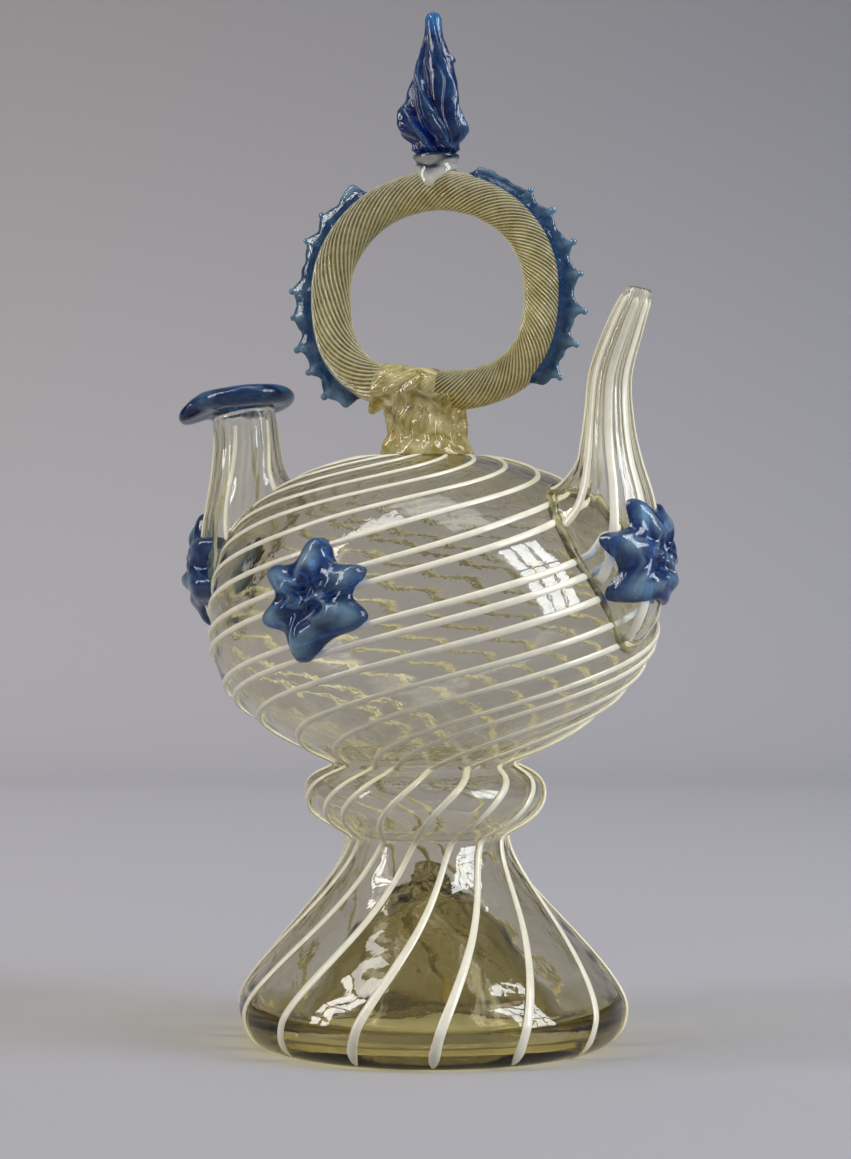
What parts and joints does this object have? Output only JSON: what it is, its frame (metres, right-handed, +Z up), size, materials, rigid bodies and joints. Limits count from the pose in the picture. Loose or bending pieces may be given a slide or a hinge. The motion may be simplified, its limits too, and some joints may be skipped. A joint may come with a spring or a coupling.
{
  "type": "spouted drinking jug",
  "caption": "Blown glass jug with a globe on a conical foot, a filler neck, a tapering pouring spout, a twisted ring handle with pinched crests, pressed stars and a flame finial.",
  "frame": {"origin": "on the table, under the middle of the box round the whole jug", "axes": "+Z up, the pouring spout points along +X"},
  "size_m": [0.1444, 0.1276, 0.28],
  "materials": {
    "clear_glass": "clear soda glass with a faint straw tint, smooth and shiny",
    "straw_glass": "clear straw-coloured glass, ribbed and shiny",
    "cream_glass": "opaque cream-white glass thread, shiny",
    "blue_glass": "deep blue glass, tooled and shiny"
  },
  "bodies": {
    "root": {"vessel": "clear_glass", "thread_01": "cream_glass", "thread_02": "cream_glass", "thread_03": "cream_glass", "thread_04": "cream_glass", "thread_05": "cream_glass", "thread_06": "cream_glass", "thread_07": "cream_glass", "thread_08": "cream_glass", "thread_09": "cream_glass", "thread_10": "cream_glass", "thread_11": "cream_glass", "thread_12": "cream_glass", "thread_13": "cream_glass", "thread_14": "cream_glass", "thread_15": "cream_glass", "filler_neck": "clear_glass", "filler_rim": "blue_glass", "filler_thread_01": "cream_glass", "filler_thread_02": "cream_glass", "filler_thread_03": "cream_glass", "filler_thread_04": "cream_glass", "filler_thread_05": "cream_glass", "filler_thread_06": "cream_glass", "prunt_filler": "blue_glass", "spout": "clear_glass", "spout_thread_01": "cream_glass", "spout_thread_02": "cream_glass", "spout_thread_03": "cream_glass", "spout_thread_04": "cream_glass", "spout_thread_05": "cream_glass", "spout_thread_06": "cream_glass", "spout_thread_07": "cream_glass", "spout_thread_08": "cream_glass", "prunt_spout": "blue_glass", "prunt_front": "blue_glass", "stem": "straw_glass", "ring_handle": "straw_glass", "ring_strap": "clear_glass", "crest_left": "blue_glass", "crest_right": "blue_glass", "finial_collar": "clear_glass", "finial": "blue_glass"}
  },
  "joints": []
}
